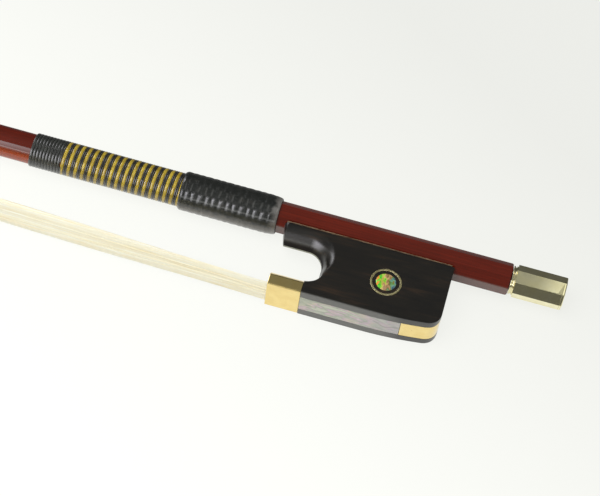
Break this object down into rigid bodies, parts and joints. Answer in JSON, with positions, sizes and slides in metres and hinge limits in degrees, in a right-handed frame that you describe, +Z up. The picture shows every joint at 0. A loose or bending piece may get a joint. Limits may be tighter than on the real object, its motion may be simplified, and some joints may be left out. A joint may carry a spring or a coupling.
{
  "type": "cello bow",
  "caption": "Cello bow lying on its side: cambered stick with lapping and leather grip, sliding frog with hair, ferrule and inlays, and a turning end button.",
  "frame": {"origin": "middle of the bow's box in X and Y, on the surface that it lies on its side on", "axes": "+X along the handle towards the button, -Y from the stick towards the hair, +Z up out of the upper side of the frog"},
  "size_m": [0.715, 0.044, 0.013],
  "materials": {
    "varnished_wood": "dark red gloss varnish",
    "ebony": "polished black with faint brown grain",
    "gilt_metal": "polished gold coloured metal",
    "brass": "plain machined brass",
    "pearl": "polished mother of pearl with pink and green streaks",
    "abalone": "polished green and orange shell",
    "steel": "turned steel",
    "bone": "polished bone",
    "maple": "bare maple",
    "leather": "black grained leather with a light shine",
    "black_thread": "waxed black thread",
    "yellow_thread": "twisted yellow lapping",
    "horsehair": "cream horsehair"
  },
  "bodies": {
    "stick": {"stick": "varnished_wood", "tip_plate": "bone", "tip_plate_liner": "ebony", "tip_mortise_plug": "maple", "tip_hair_knot": "horsehair", "hair_ribbon": "horsehair", "leather_grip": "leather", "lapping_under_grip": "black_thread", "lapping_yellow_strand": "yellow_thread", "lapping_black_strand": "black_thread", "thread_lapping": "black_thread"},
    "frog": {"frog_body": "ebony", "ferrule": "gilt_metal", "pearl_slide": "pearl", "slide_bed": "ebony", "heel_plate": "gilt_metal", "heel_plate_pin": "gilt_metal", "eye_ring_left": "gilt_metal", "eye_dot_left": "abalone", "eye_ring_right": "gilt_metal", "eye_dot_right": "abalone", "frog_hair_knot": "horsehair", "spread_wedge": "maple", "frog_mortise_plug": "maple", "underslide": "brass", "underslide_screw_front": "brass", "underslide_screw_rear": "brass", "eyelet": "brass"},
    "button": {"adjuster_screw": "steel", "button_core": "ebony", "button_collar": "gilt_metal", "button_shell": "gilt_metal", "button_cap": "gilt_metal"}
  },
  "joints": [
    {"name": "button_turn", "type": "hinge", "parent": "stick", "child": "button", "pos_m": [0.34948, 0.00459, 0.0065], "axis": [-1, 0, 0], "range_deg": [0, 2880]},
    {"name": "frog_slide", "type": "slide", "parent": "stick", "child": "frog", "axis": [1, 0, 0], "range_m": [0, 0.006], "deforming": ["hair_ribbon"]}
  ],
  "couplings": [
    {"joint": "button_turn", "follows": "frog_slide", "rad_per_m": 8377.5}
  ]
}
